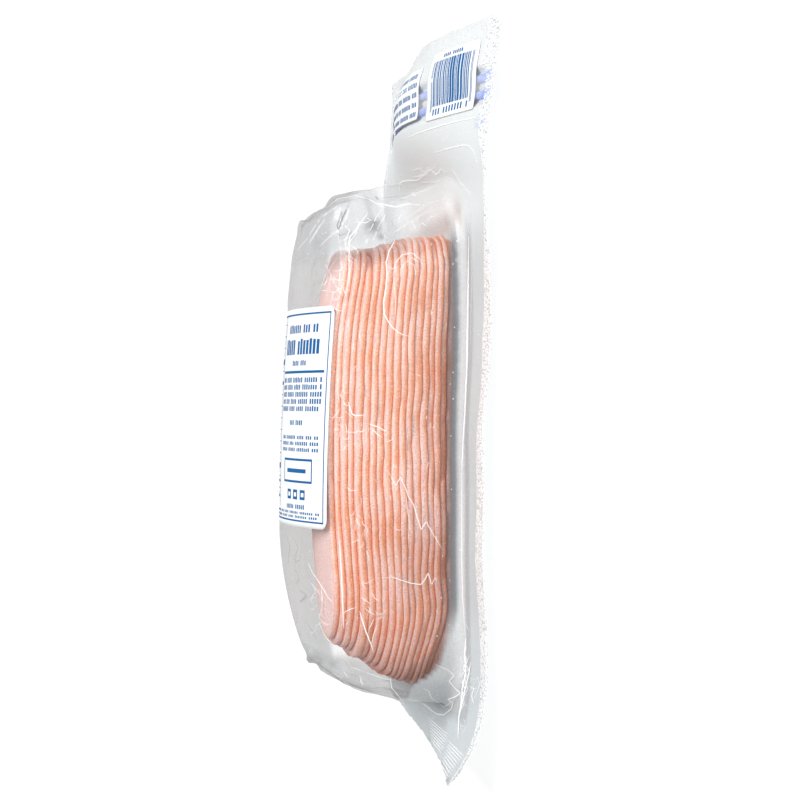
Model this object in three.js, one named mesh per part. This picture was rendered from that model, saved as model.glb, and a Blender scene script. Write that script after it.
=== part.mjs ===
// A vacuum-formed pack of sliced smoked ham, lying on its front web with the deep-drawn pocket up.
// Millimetres. X runs across the pack, Y along it with the resealable header at +Y, Z is up.
// The origin is at the middle of the pack's outline, on the plane that the pack rests on.
import * as THREE from 'three';

// ---------------------------------------------------------------- driving dimensions
const PACK_WIDTH = 170;
const PACK_LENGTH = 250;
const FAR_SIDE_SHORTER = 10; // the bottom cut runs askew: the far side ends this much sooner
const FILM = 0.4; // each web, as a solid
const GAP = 0.3; // between pieces that touch
const FLANGE_LEVEL = 6; // formed web's upper face above the rest plane, beside the pocket
const CORNER_RADIUS = 4;

const HEADER = {
  foot: 76, // the header starts to leave the flange's level here
  settled: 104, // and its long edges have dipped fully here
  edgeDip: 4.4, // long edges of the header drop towards the rest plane
  archFrom: 70,
  archFull: 98,
  topBlendFrom: 108, // nearer the top edge than this the arch takes its other shape
  overZip: { rise: 14.2, peak: 6, reach: 104 }, // arch across the header: half a bell each side
  atTopEdge: { rise: 8.4, peak: 20, reach: 88 },
};
const TOP_CORNER_DIP = { at: 118, depth: 1.7, reach: 8, from: 50 }; // the near corner hangs lower
const BOTTOM_CURL = { from: -85, rise: 16, drop: 3.2, along: 2.9, across: 1.6 };
const FAR_EDGE_SAG = 2;
const EDGE_WAVES = [
  // centre along Y, height, half-length of each slow wave in the long edges
  { at: 74, height: 0.6, reach: 14 },
  { at: 25, height: -1.6, reach: 22 },
  { at: -12, height: 1.5, reach: 18 },
  { at: -50, height: 1.2, reach: 20 },
];

const POCKET = {
  halfWidth: 60.5,
  top: 76.5,
  bottom: -105.5,
  radius: 26,
  crownX: 10, // the back is highest this far towards the near side
  crownY: -42,
  crown: 54, // above the flange level
  acrossFall: 0.0044, // fall of the back per mm squared
  headerFall: 0.00055,
  footFall: 0.004,
};
// Rows of the pocket wall, from the flange to the back. Insets are from the pocket's foot.
const WALL_ROWS = [
  { side: 0.0, top: 0.0, bottom: 0.0, radius: 26, rise: 0.015 },
  { side: 2.0, top: 1.2, bottom: 1.0, radius: 25, rise: 0.13 },
  { side: 3.0, top: 2.4, bottom: 2.2, radius: 24, rise: 0.46 },
  { side: 3.6, top: 5.0, bottom: 6.0, radius: 23, rise: 0.71 },
  { side: 4.6, top: 8.6, bottom: 10.5, radius: 22, rise: 0.89 },
  { side: 7.4, top: 12.8, bottom: 16.0, radius: 21, rise: 1.0 },
];
const BACK_SCALES = [0.86, 0.7, 0.53, 0.36, 0.19];
const END_FOLDS = { count: 4, depth: 1.6 }; // gathers in the film at the pocket's two short ends

const BELLY_SCALES = [0.95, 0.88, 0.8]; // front web from the pocket's foot to the flat it rests on
const ZIP = { upperY: 105.6, lowerY: 100.1, width: 2.4, height: 1.2, halfLength: 74, lift: 0.35 };
const HEADER_PUFF = {
  height: 1.75,
  from: 82,
  full: 93,
  back: 112,
  end: 121,
  sideFrom: 84,
  sideFull: 79,
  clearance: 0.2,
};

const LABEL_THICKNESS = 0.3;
const LABEL_LIFT = 0.45;
const BACK_LABEL = { x: [-50, 52], y: [-43.3, 31.5], radius: 3.5, rings: 6 };
const BARCODE_LABEL = { x: [33, 71], y: [95.6, 118.8], radius: 1, rings: 3 };
const TEXT_LABEL = { x: [-72, 24], y: [97.6, 115.8], radius: 1, rings: 6 };

// Points round every ring: on each short side, on each long side and in each corner.
const RING = { short: 14, long: 10, corner: 5 };
const LABEL_RING = { short: 8, long: 4, corner: 2 };
const FLANGE_RINGS = 7;

// ---------------------------------------------------------------- small maths
const clamp01 = (t) => Math.min(1, Math.max(0, t));
const mix = (a, b, t) => a + (b - a) * t;

function smoothstep(from, to, value) {
  const t = clamp01((value - from) / (to - from));
  return t * t * (3 - 2 * t);
}

// ---------------------------------------------------------------- levels of the two webs
const HALF_WIDTH = PACK_WIDTH / 2;
const TOP_EDGE = PACK_LENGTH / 2;

function headerArch(x, y) {
  const { overZip, atTopEdge } = HEADER;
  const towardsTop = smoothstep(HEADER.topBlendFrom, TOP_EDGE, y);
  const risen = smoothstep(HEADER.archFrom, HEADER.archFull, y);
  const rise = mix(overZip.rise * risen, atTopEdge.rise, towardsTop);
  const peak = mix(overZip.peak, atTopEdge.peak, towardsTop);
  const reach = mix(overZip.reach, atTopEdge.reach, towardsTop);
  return rise * (0.5 + 0.5 * Math.cos(Math.PI * Math.min(1, Math.abs(x - peak) / reach)));
}

function topCornerDip(x, y) {
  const along = Math.exp(-(((y - TOP_CORNER_DIP.at) / TOP_CORNER_DIP.reach) ** 2));
  return TOP_CORNER_DIP.depth * along * smoothstep(TOP_CORNER_DIP.from, HALF_WIDTH, x);
}

function bottomCurl(x, y) {
  const reach = -TOP_EDGE - BOTTOM_CURL.from;
  const along = clamp01((y - BOTTOM_CURL.from) / reach) ** BOTTOM_CURL.along;
  const across = clamp01((x + HALF_WIDTH) / PACK_WIDTH) ** BOTTOM_CURL.across;
  return along * (BOTTOM_CURL.rise * across - BOTTOM_CURL.drop);
}

function edgeWaves(x, y) {
  const nearEdge = smoothstep(40, HALF_WIDTH, Math.abs(x));
  let level = 0;
  for (const wave of EDGE_WAVES) {
    level += wave.height * Math.exp(-(((y - wave.at) / wave.reach) ** 2));
  }
  return level * nearEdge;
}

// Upper face of the formed web in the flange and the header.
function webLevel(x, y) {
  const dip = HEADER.edgeDip * smoothstep(HEADER.foot, HEADER.settled, y);
  const farSag = FAR_EDGE_SAG * smoothstep(30, HALF_WIDTH, -x) * (1 - smoothstep(70, 95, y));
  const risen = headerArch(x, y) + bottomCurl(x, y) + edgeWaves(x, y);
  return FLANGE_LEVEL - dip - farSag - topCornerDip(x, y) + risen;
}

// Upper face of the pocket's back: a dome that falls faster towards the foot end.
function backLevel(x, y) {
  const fallY = y > POCKET.crownY ? POCKET.headerFall : POCKET.footFall;
  const along = fallY * (y - POCKET.crownY) ** 2;
  return FLANGE_LEVEL + POCKET.crown - along - POCKET.acrossFall * (x - POCKET.crownX) ** 2;
}

// The webs stand apart over the zip, and are sealed to each other all round. The front web
// keeps clear of the rest plane.
function headerPuff(x, y) {
  const along =
    smoothstep(HEADER_PUFF.from, HEADER_PUFF.full, y) *
    smoothstep(HEADER_PUFF.end, HEADER_PUFF.back, y);
  const across = smoothstep(HEADER_PUFF.sideFrom, HEADER_PUFF.sideFull, Math.abs(x));
  const room = webLevel(x, y) - 2 * FILM - GAP - HEADER_PUFF.clearance;
  return Math.min(HEADER_PUFF.height * along * across, room);
}

// ---------------------------------------------------------------- rings and lofts
// Points anticlockwise round a rounded rectangle, the same number whatever its size.
function roundedRing({ right, left, top, bottom, radius }, divisions) {
  const centres = [
    [right - radius, top - radius],
    [left + radius, top - radius],
    [left + radius, bottom + radius],
    [right - radius, bottom + radius],
  ];
  const arcs = centres.map(([cx, cy], quarter) =>
    Array.from({ length: divisions.corner + 1 }, (_, i) => {
      const angle = (Math.PI / 2) * (quarter + i / divisions.corner);
      return new THREE.Vector2(cx + radius * Math.cos(angle), cy + radius * Math.sin(angle));
    }),
  );
  const points = [];
  arcs.forEach((arc, quarter) => {
    points.push(...arc);
    const start = arc[divisions.corner];
    const end = arcs[(quarter + 1) % 4][0];
    const steps = quarter % 2 === 0 ? divisions.short : divisions.long;
    for (let i = 1; i < steps; i += 1) {
      points.push(start.clone().lerp(end, i / steps));
    }
  });
  return points;
}

// Closed body through a stack of rings, capped by one point below and one above. The first
// rings grow outwards. From ring number outward on they close in again, with each quad split
// along the same diagonal as the quad under it, so that stacked webs stay parallel.
function loft(rings, firstPoint, lastPoint, outward = rings.length) {
  const count = rings[0].length;
  const vertices = [firstPoint, ...rings.flat(), lastPoint];
  const last = vertices.length - 1;
  const at = (ring, i) => 1 + ring * count + (i % count);
  const indices = [];
  for (let i = 0; i < count; i += 1) {
    indices.push(0, at(0, i + 1), at(0, i));
    indices.push(last, at(rings.length - 1, i), at(rings.length - 1, i + 1));
    for (let ring = 0; ring + 1 < rings.length; ring += 1) {
      const quad = [at(ring, i), at(ring, i + 1), at(ring + 1, i + 1), at(ring + 1, i)];
      const split = ring < outward ? [0, 1, 3, 1, 2, 3] : [0, 1, 2, 0, 2, 3];
      indices.push(...split.map((corner) => quad[corner]));
    }
  }
  const geometry = new THREE.BufferGeometry();
  geometry.setAttribute('position', new THREE.Float32BufferAttribute(
    vertices.flatMap((v) => [v.x, v.y, v.z]), 3));
  geometry.setIndex(indices);
  geometry.computeVertexNormals();
  return geometry;
}

const raise = (ring, level) => ring.map((p) => new THREE.Vector3(p.x, p.y, level(p.x, p.y)));
const scaleRing = (ring, scale, centre) =>
  ring.map((p) => centre.clone().lerp(p, scale));

// ---------------------------------------------------------------- plan rings of the pack
const POCKET_CENTRE = new THREE.Vector2(0, (POCKET.top + POCKET.bottom) / 2);

// share 0 is the pack's cut edge, share 1 is the pocket's foot.
function flangeRing(share) {
  const ring = roundedRing({
    right: mix(HALF_WIDTH, POCKET.halfWidth, share),
    left: mix(-HALF_WIDTH, -POCKET.halfWidth, share),
    top: mix(TOP_EDGE, POCKET.top, share),
    bottom: mix(-TOP_EDGE, POCKET.bottom, share),
    radius: mix(CORNER_RADIUS, POCKET.radius, share),
  }, RING);
  return ring.map((p) => {
    const lower = clamp01(p.y / -TOP_EDGE) ** 4;
    const askew = FAR_SIDE_SHORTER * (HALF_WIDTH - p.x) / PACK_WIDTH;
    return new THREE.Vector2(p.x, p.y + askew * lower * (1 - share));
  });
}

function wallRing(row) {
  const ring = roundedRing({
    right: POCKET.halfWidth - row.side,
    left: row.side - POCKET.halfWidth,
    top: POCKET.top - row.top,
    bottom: POCKET.bottom + row.bottom,
    radius: row.radius,
  }, RING);
  const middle = Math.sin(Math.PI * row.rise);
  return ring.map((p) => {
    const atEnd = smoothstep(0.55, 0.8, Math.abs((p.y - POCKET_CENTRE.y) / (POCKET.top - POCKET_CENTRE.y)));
    const fold = 0.5 - 0.5 * Math.cos((END_FOLDS.count * Math.PI * p.x) / POCKET.halfWidth);
    const pull = END_FOLDS.depth * fold * middle * atEnd;
    return new THREE.Vector2(p.x, p.y - Math.sign(p.y - POCKET_CENTRE.y) * pull);
  });
}

const flangeRings = Array.from({ length: FLANGE_RINGS }, (_, i) => flangeRing(i / FLANGE_RINGS));
const footRing = flangeRing(1);
const shoulderRing = wallRing(WALL_ROWS[WALL_ROWS.length - 1]);

// ---------------------------------------------------------------- front web
const underFormed = (x, y) => webLevel(x, y) - FILM;
const lidTopFlange = (x, y) => underFormed(x, y) - GAP - headerPuff(x, y);

// From the pocket's foot the front web bellies down to the flat that the pack rests on.
function bellyRing(index, flatLevel, edgeLevel) {
  const share = (index + 1) / BELLY_SCALES.length;
  const drop = Math.sin((share * Math.PI) / 2);
  return scaleRing(footRing, BELLY_SCALES[index], POCKET_CENTRE).map((p, i) => {
    const edge = edgeLevel(footRing[i].x, footRing[i].y);
    return new THREE.Vector3(p.x, p.y, mix(edge, flatLevel, drop));
  });
}

const atCentre = (level) => new THREE.Vector3(POCKET_CENTRE.x, POCKET_CENTRE.y, level);

function lidGeometry() {
  const face = (level, flat) => [
    ...BELLY_SCALES.map((_, i) => bellyRing(i, flat, level)).reverse(),
    raise(footRing, level),
    ...flangeRings.map((ring) => raise(ring, level)).reverse(),
  ];
  const lower = face((x, y) => lidTopFlange(x, y) - FILM, 0);
  const upper = face(lidTopFlange, FILM);
  return loft([...lower, ...upper.reverse()], atCentre(0), atCentre(FILM), lower.length);
}

// ---------------------------------------------------------------- formed web and what it holds
function formedGeometry() {
  const flat = FILM + GAP;
  const lower = [
    ...BELLY_SCALES.map((_, i) => bellyRing(i, flat, underFormed)).reverse(),
    raise(footRing, underFormed),
    ...flangeRings.map((ring) => raise(ring, underFormed)).reverse(),
  ];
  const flange = flangeRings.map((ring) => raise(ring, webLevel));
  const wall = WALL_ROWS.map((row) => wallRing(row).map((p, i) => {
    const foot = webLevel(p.x, p.y);
    const shoulder = backLevel(shoulderRing[i].x, shoulderRing[i].y);
    return new THREE.Vector3(p.x, p.y, mix(foot, shoulder, row.rise));
  }));
  const back = BACK_SCALES.map((scale) =>
    raise(scaleRing(shoulderRing, scale, POCKET_CENTRE), backLevel));
  const crown = atCentre(backLevel(POCKET_CENTRE.x, POCKET_CENTRE.y));
  return loft([...lower, ...flange, ...wall, ...back], atCentre(flat), crown, lower.length);
}

// ---------------------------------------------------------------- zip tracks
// A rib with a domed upper side, following the underside of the formed web from side to side.
function zipGeometry(y) {
  const halfWidth = ZIP.width / 2;
  const section = [[-1, 0], [1, 0], [1, 0.6], [0.5, 1], [-0.5, 1], [-1, 0.6]];
  const steps = 26;
  const rings = Array.from({ length: steps + 1 }, (_, i) => {
    const x = mix(-ZIP.halfLength, ZIP.halfLength, i / steps);
    const top = underFormed(x, y) - ZIP.lift;
    return section.map(([across, up]) => new THREE.Vector3(
      x, y + across * halfWidth, top - ZIP.height * (1 - up)));
  });
  const middle = (ring) => ring.reduce((sum, p) => sum.add(p), new THREE.Vector3())
    .divideScalar(section.length);
  return loft(rings, middle(rings[0]), middle(rings[steps]));
}

// ---------------------------------------------------------------- labels
function labelGeometry({ x, y, radius, rings }, level) {
  const outline = roundedRing({
    right: x[1], left: x[0], top: y[1], bottom: y[0], radius,
  }, LABEL_RING);
  const centre = new THREE.Vector2((x[0] + x[1]) / 2, (y[0] + y[1]) / 2);
  const face = (lift) => Array.from({ length: rings }, (_, i) =>
    raise(scaleRing(outline, (i + 1) / rings, centre), (px, py) => level(px, py) + lift));
  const lower = face(LABEL_LIFT);
  const upper = face(LABEL_LIFT + LABEL_THICKNESS).reverse();
  const middle = (lift) => new THREE.Vector3(centre.x, centre.y, level(centre.x, centre.y) + lift);
  const top = middle(LABEL_LIFT + LABEL_THICKNESS);
  return loft([...lower, ...upper], middle(LABEL_LIFT), top, lower.length);
}

// ---------------------------------------------------------------- the pack
const pack = new THREE.Group();

function add(name, geometry, { color, roughness }) {
  const material = new THREE.MeshStandardMaterial({ color, roughness, metalness: 0 });
  const mesh = new THREE.Mesh(geometry, material);
  mesh.name = name;
  pack.add(mesh);
}

add('lid_web', lidGeometry(), { color: 0xe9ebec, roughness: 0.4 });
add('formed_web', formedGeometry(), { color: 0xf0bfb0, roughness: 0.25 });
add('zip_track_upper', zipGeometry(ZIP.upperY), { color: 0x7d9bef, roughness: 0.45 });
add('zip_track_lower', zipGeometry(ZIP.lowerY), { color: 0x7d9bef, roughness: 0.45 });
add('back_label', labelGeometry(BACK_LABEL, backLevel), { color: 0xfbfbfa, roughness: 0.5 });
add('barcode_label', labelGeometry(BARCODE_LABEL, webLevel), { color: 0xfbfbfa, roughness: 0.5 });
add('text_label', labelGeometry(TEXT_LABEL, webLevel), { color: 0xfbfbfa, roughness: 0.5 });

export default pack;
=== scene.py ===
import math

import bpy
import numpy as np
from mathutils import Matrix, Vector, noise
from mathutils.bvhtree import BVHTree


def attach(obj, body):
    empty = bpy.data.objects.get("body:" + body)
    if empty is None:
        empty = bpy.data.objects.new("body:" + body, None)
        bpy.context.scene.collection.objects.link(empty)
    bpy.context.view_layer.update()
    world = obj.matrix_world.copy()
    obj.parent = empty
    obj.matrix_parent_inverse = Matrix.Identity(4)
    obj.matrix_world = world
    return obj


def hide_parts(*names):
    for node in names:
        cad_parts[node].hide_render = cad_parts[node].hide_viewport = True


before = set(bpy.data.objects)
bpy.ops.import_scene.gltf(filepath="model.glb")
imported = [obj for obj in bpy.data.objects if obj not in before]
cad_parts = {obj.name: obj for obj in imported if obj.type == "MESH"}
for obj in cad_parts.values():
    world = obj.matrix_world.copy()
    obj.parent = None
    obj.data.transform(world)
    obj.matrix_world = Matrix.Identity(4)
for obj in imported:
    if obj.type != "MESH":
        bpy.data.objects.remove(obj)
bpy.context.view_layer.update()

# ---------------------------------------------------------------------------------------------
# The formed web: one sheet of clear nylon and polyethylene film, about 0.2 mm thick, heated and
# drawn down into a pocket by vacuum. It keeps a flat flange all round and a header for the zip.
# Where it is slack at the ends it gathers and frosts, and handling adds sharp white creases. The creases
# also carry painted highlights, and the haze painted shade.
MM = 0.001
# Sizes are in mm: x across the pack, y along it towards the header and z up from the table.
HALF_WIDTH = 85.0
TOP_EDGE = 125.0
FAR_SIDE_SHORTER = 10.0
FLANGE_LEVEL = 6.0
POCKET_HEIGHT = 54.0
FOOT = {"side": 60.5, "top": 76.5, "bottom": -105.5, "radius": 26.0}
MID_Y = (FOOT["top"] + FOOT["bottom"]) / 2
CURL_FROM = -85.0
CREST_Y = -42.0
# Waves of the rim: place along the pack, height and reach.
RIM_WAVES = ((74, 0.6, 14), (25, -1.6, 22), (-12, 1.5, 18), (-50, 1.2, 20))
# Points on a short side, a long side and a corner of the film's rings, and how many rings lie on the
# flange, wall and back.
ROUND = {"short": 84, "long": 178, "corner": 20}
FLANGE_ROWS = 24
WALL_HEIGHT = 46.0
WALL_STEPS = 62
WALL_SMOOTHING = 6
BACK_ROWS = 36

# The view that the creases were measured in, which is the photograph's: 12 degrees above the
# flange and beside the pack, rolled a quarter turn. Distances are in mm.
ELEVATION = math.radians(12.0)
EYE_DISTANCE = 823.0
SIDE_SHIFT = 10.0
FOCAL_PIXELS = 2294.0
FRAME_PIXELS = 800.0
VIEW_BACK = Vector((math.cos(ELEVATION), 0.0, math.sin(ELEVATION)))
VIEW_RIGHT = Vector((math.sin(ELEVATION), 0.0, -math.cos(ELEVATION)))
VIEW_UP = Vector((0.0, 1.0, 0.0))
EYE = VIEW_BACK * EYE_DISTANCE - VIEW_RIGHT * SIDE_SHIFT + Vector((0.0, 0.0, FLANGE_LEVEL))


def smoothstep(start, end, value):
    t = np.clip((np.asarray(value, float) - start) / (end - start), 0.0, 1.0)
    return t * t * (3 - 2 * t)


def mix(a, b, t):
    return a + (b - a) * t


def in_photo(points):
    """Where points in mm show in the photograph, in pixels."""
    from_eye = np.asarray(points, float) - np.array(EYE)
    depth = -(from_eye @ np.array(VIEW_BACK))
    across = from_eye @ np.array(VIEW_RIGHT)
    up = from_eye @ np.array(VIEW_UP)
    middle = FRAME_PIXELS / 2
    scale = FOCAL_PIXELS / depth
    return np.column_stack([middle + scale * across, middle - scale * up])


def header_arch(x, y):
    """The header arches over the zip, and takes a lower, narrower bell at the cut edge."""
    towards_top = smoothstep(108, TOP_EDGE, y)
    rise = mix(14.2 * smoothstep(70, 98, y), 8.4, towards_top)
    peak = mix(6, 20, towards_top)
    reach = mix(104, 88, towards_top)
    return rise * (0.5 + 0.5 * np.cos(np.pi * np.minimum(1, np.abs(x - peak) / reach)))


def web_level(x, y):
    """Upper face of the flange and header above the table, in mm."""
    dip = 4.4 * smoothstep(76, 104, y)
    # the foot end curls up at the corner that the photograph shows, and dips at the other
    along = np.clip((CURL_FROM - y) / (TOP_EDGE + CURL_FROM), 0, 1) ** 2.9
    across = np.clip((x + HALF_WIDTH) / (2 * HALF_WIDTH), 0, 1) ** 1.6
    curl = along * (16 * across - 3.2)
    waves = sum(height * np.exp(-(((y - at) / reach) ** 2)) for at, height, reach in RIM_WAVES)
    far_sag = 2 * smoothstep(30, HALF_WIDTH, -x) * (1 - smoothstep(70, 95, y))
    corner_dip = 1.7 * np.exp(-(((y - 118) / 8) ** 2)) * smoothstep(50, HALF_WIDTH, x)
    edge = smoothstep(40, HALF_WIDTH, np.abs(x))
    return FLANGE_LEVEL - dip + header_arch(x, y) + curl + waves * edge - far_sag - corner_dip


def back_level(x, y):
    """The pocket's domed back, which falls faster towards the foot end."""
    fall = np.where(y > CREST_Y, 0.00055, 0.004)
    return FLANGE_LEVEL + POCKET_HEIGHT - fall * (y - CREST_Y) ** 2 - 0.0044 * (x - 10) ** 2


def rounded_ring(right, left, top, bottom, radius, steps):
    """Points anticlockwise round a rounded rectangle, the same number whatever its size.

    radius is one number, or four: top right, top left, bottom left and bottom right.
    """
    radii = np.broadcast_to(np.asarray(radius, float), 4)
    signs = ((1, 1), (-1, 1), (-1, -1), (1, -1))
    turn = np.linspace(0, math.pi / 2, steps["corner"] + 1)
    arcs = []
    for quarter, (side, end) in enumerate(signs):
        r = radii[quarter]
        cx = (right if side > 0 else left) - side * r
        cy = (top if end > 0 else bottom) - end * r
        angle = turn + quarter * math.pi / 2
        arcs.append(np.stack([cx + r * np.cos(angle), cy + r * np.sin(angle)], 1))
    points = []
    for quarter, arc in enumerate(arcs):
        points.append(arc)
        count = steps["short"] if quarter % 2 == 0 else steps["long"]
        share = np.arange(1, count)[:, None] / count
        points.append(mix(arc[-1], arcs[(quarter + 1) % 4][0], share))
    return np.concatenate(points)


def relief(points, scale, seed):
    """Smooth noise at a set of points, with features about scale mm across."""
    offset = Vector((seed * 17.3, seed * 5.1, seed * 9.7))
    return np.array([noise.noise(Vector(p) / scale + offset) for p in points])


def edge_wobble(ring, share):
    """The cut edge is a little ragged and the knurl leaves it wavy: moves out and up, in mm."""
    fade = max(0.0, 1 - share * 7)
    flat = np.column_stack([ring, np.zeros(len(ring))])
    out = 0.3 * relief(flat, 2.6, 4) + 0.5 * relief(flat, 9, 2)
    up = 0.35 * relief(flat, 6, 8)
    outward = ring / np.linalg.norm(ring, axis=1, keepdims=True)
    return outward * (out * fade)[:, None], up * fade


def flange_ring(share, steps=ROUND):
    """Share 0 is the pack's cut edge, share 1 the pocket's foot."""
    ring = rounded_ring(
        mix(HALF_WIDTH, FOOT["side"], share),
        mix(-HALF_WIDTH, -FOOT["side"], share),
        mix(TOP_EDGE, FOOT["top"], share),
        mix(-TOP_EDGE, FOOT["bottom"], share),
        mix(4.0, FOOT["radius"], share),
        steps,
    )
    lower = np.clip(-ring[:, 1] / TOP_EDGE, 0, 1) ** 4
    askew = FAR_SIDE_SHORTER * (HALF_WIDTH - ring[:, 0]) / (2 * HALF_WIDTH)
    ring[:, 1] += askew * lower * (1 - share)
    return ring


def wall_rows():
    """Insets from the pocket's foot and share of the full height, evened out along the wall."""
    rows = np.array([
        # side, top, bottom, radius, rise
        (0.0, 0.0, 0.0, 26.0, 0.0),
        (2.4, 0.8, 0.7, 25.6, 0.006),
        (4.4, 1.3, 1.2, 25.4, 0.03),
        (5.4, 1.6, 1.4, 25.0, 0.08),
        (5.1, 2.0, 1.8, 24.5, 0.27),
        (4.5, 2.4, 2.2, 24.0, 0.46),
        (4.6, 5.0, 6.0, 23.0, 0.71),
        (5.6, 8.6, 10.5, 22.0, 0.89),
        (8.4, 12.8, 16.0, 21.0, 1.0),
    ])
    run = np.hypot(np.diff(rows[:, 4]) * WALL_HEIGHT, np.diff(rows[:, 0] + rows[:, 1]) / 2)
    reach = np.concatenate([[0], np.cumsum(run)])
    at = np.linspace(0, reach[-1], WALL_STEPS)
    dense = np.stack([np.interp(at, reach, rows[:, k]) for k in range(5)], 1)
    for _ in range(WALL_SMOOTHING):
        dense[1:-1] = (dense[:-2] + 2 * dense[1:-1] + dense[2:]) / 4
    return dense


def formed_grid():
    """Rings of points from the cut edge over the flange, up the wall and in over the back."""
    rings = []
    for share in np.linspace(0, 1, FLANGE_ROWS + 1)[:-1]:
        ring = flange_ring(share)
        sideways, up = edge_wobble(ring, share)
        rings.append(np.column_stack([ring + sideways, web_level(ring[:, 0], ring[:, 1]) + up]))
    rows = wall_rows()
    plan = []
    for side, top, bottom, radius, rise in rows:
        half = FOOT["side"] - side
        plan.append(rounded_ring(half, -half, FOOT["top"] - top, FOOT["bottom"] + bottom, radius, ROUND))
    shoulder = plan[-1]
    crest = back_level(shoulder[:, 0], shoulder[:, 1])
    for ring, row in zip(plan, rows):
        rings.append(np.column_stack([ring, mix(web_level(ring[:, 0], ring[:, 1]), crest, row[4])]))
    middle = np.array([0.0, MID_Y])
    for share in np.linspace(1, 0.012, BACK_ROWS + 1)[1:]:
        ring = middle + (shoulder - middle) * share
        rings.append(np.column_stack([ring, back_level(ring[:, 0], ring[:, 1])]))
    return np.array(rings)


def grid_normals(grid):
    """Unit normals of a grid of rings, pointing out of the pack."""
    around = np.roll(grid, -1, 1) - np.roll(grid, 1, 1)
    inward = np.gradient(grid, axis=0)
    normal = np.cross(around, inward)
    return normal / np.maximum(np.linalg.norm(normal, axis=2, keepdims=True), 1e-9)


def distance_to_path(points, path):
    """How far each point is from a path of straight stretches."""
    path = np.array(path, float)
    best = np.full(len(points), 1e9)
    for start, end in zip(path[:-1], path[1:]):
        run = end - start
        t = np.clip((points - start) @ run / max(run @ run, 1e-9), 0, 1)
        best = np.minimum(best, np.linalg.norm(points - (start + t[:, None] * run), axis=1))
    return best


# Broad folds of the slack film, by their place in the photograph in pixels, then the distance in
# pixels over which each one fades and its height in mm.
FOLDS = {
    "hump at the header end": ([(338, 207), (352, 204), (366, 209)], 8.0, 1.7),
    "notch beside the hump": ([(370, 194), (371, 206), (375, 216)], 4.5, -2.6),
    "gather by the header": ([(378, 204), (392, 207), (408, 205)], 3.5, 1.3),
    "first dart": ([(350, 203), (345, 216), (338, 232)], 2.4, -1.3),
    "second dart": ([(336, 212), (328, 224), (318, 240)], 2.6, 1.0),
    "third dart": ([(326, 214), (314, 232), (307, 250)], 2.6, 0.8),
    "fourth dart": ([(360, 214), (352, 226), (346, 243)], 2.4, 1.0),
    "fifth dart": ([(383, 212), (374, 228), (368, 240)], 2.6, 1.0),
    "dent at the shoulder": ([(306, 215), (322, 205)], 7.0, -1.8),
    "hollow by the ham": ([(392, 222), (372, 230), (352, 240)], 5.0, -1.2),
    "corner at the foot end": ([(308, 661), (315, 656), (328, 642)], 5.0, 2.0),
    "fold under the corner": ([(324, 666), (345, 674), (372, 685)], 3.5, 1.3),
    "crease under the ham": ([(335, 660), (360, 674), (392, 683)], 3.0, -1.2),
    "gather beside the back": ([(295, 600), (305, 630), (316, 655)], 3.0, 1.0),
    "hollow beside the back": ([(290, 556), (294, 588), (300, 618)], 2.8, -0.9),
    "lobe at the foot": ([(410, 703), (428, 707), (444, 708)], 5.0, 1.0),
    "drape into the lobe": ([(398, 699), (406, 690), (412, 680)], 4.0, 0.8),
}
# Whiter, milkier places in the film and darker places of painted shade: place and reach in the photograph
# in pixels, and amount.
BLOOMS = (
    ((413, 224), 13, 0.45), ((432, 214), 12, 0.4), ((398, 212), 10, 0.2), ((451, 206), 11, 0.5),
    ((313, 650), 9, 0.4), ((340, 240), 9, 0.3), ((336, 226), 15, 0.12), ((362, 237), 7, 0.2),
)
SHADES = (
    ((373, 226), 18, 1.0), ((381, 236), 8, 1.0), ((350, 234), 9, 0.85), ((318, 245), 12, 0.75),
    ((372, 672), 18, 0.85), ((335, 662), 12, 0.8),
)

# The labels' places, the radius of their corners and the face of the film that they are stuck to.
LABELS = {
    "back_label": {"x": (-50, 52), "y": (-43.3, 31.5), "radius": 3.5, "level": back_level},
    "barcode_label": {"x": (33, 71), "y": (95.6, 118.8), "radius": 1.0, "level": web_level},
    "text_label": {"x": (-72, 24), "y": (97.6, 115.8), "radius": 1.0, "level": web_level},
}


def under_label(points):
    """1 where a label is stuck to the film and keeps it smooth."""
    held = np.zeros(len(points))
    for label in LABELS.values():
        inside = np.minimum(
            np.minimum(points[:, 0] - label["x"][0], label["x"][1] - points[:, 0]),
            np.minimum(points[:, 1] - label["y"][0], label["y"][1] - points[:, 1]),
        )
        near = np.abs(points[:, 2] - label["level"](points[:, 0], points[:, 1])) < 8
        held = np.maximum(held, smoothstep(-4, 0.5, inside) * near)
    return held


def put_mesh(name, vertices, faces, smooth=True):
    """A new mesh object from points in mm."""
    mesh = bpy.data.meshes.new(name)
    mesh.from_pydata((np.asarray(vertices) * MM).tolist(), [], faces)
    if smooth:
        mesh.shade_smooth()
    obj = bpy.data.objects.new(name, mesh)
    bpy.context.scene.collection.objects.link(obj)
    return obj


def ring_faces(rings, count, start=0):
    """Quads between closed rings that follow each other in the list of vertices."""
    faces = []
    for k in range(rings - 1):
        a = start + k * count
        b = a + count
        for i in range(count):
            j = (i + 1) % count
            faces.append((a + i, a + j, b + j, b + i))
    return faces


def shell_faces(rings, count, start=0):
    """The same, with a cap over the first ring and one over the last."""
    last = start + (rings - 1) * count
    caps = [tuple(range(start, start + count))[::-1], tuple(range(last, last + count))]
    return ring_faces(rings, count, start) + caps


def set_attribute(obj, name, values):
    layer = obj.data.attributes.new(name, "FLOAT", "POINT")
    layer.data.foreach_set("value", np.asarray(values, np.float32))


def linear(hex_colour):
    """An sRGB hex colour as linear red, green, blue, alpha."""
    channels = [int(hex_colour[i:i + 2], 16) / 255 for i in (1, 3, 5)]
    return tuple(c / 12.92 if c <= 0.04045 else ((c + 0.055) / 1.055) ** 2.4 for c in channels) + (1.0,)


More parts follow.
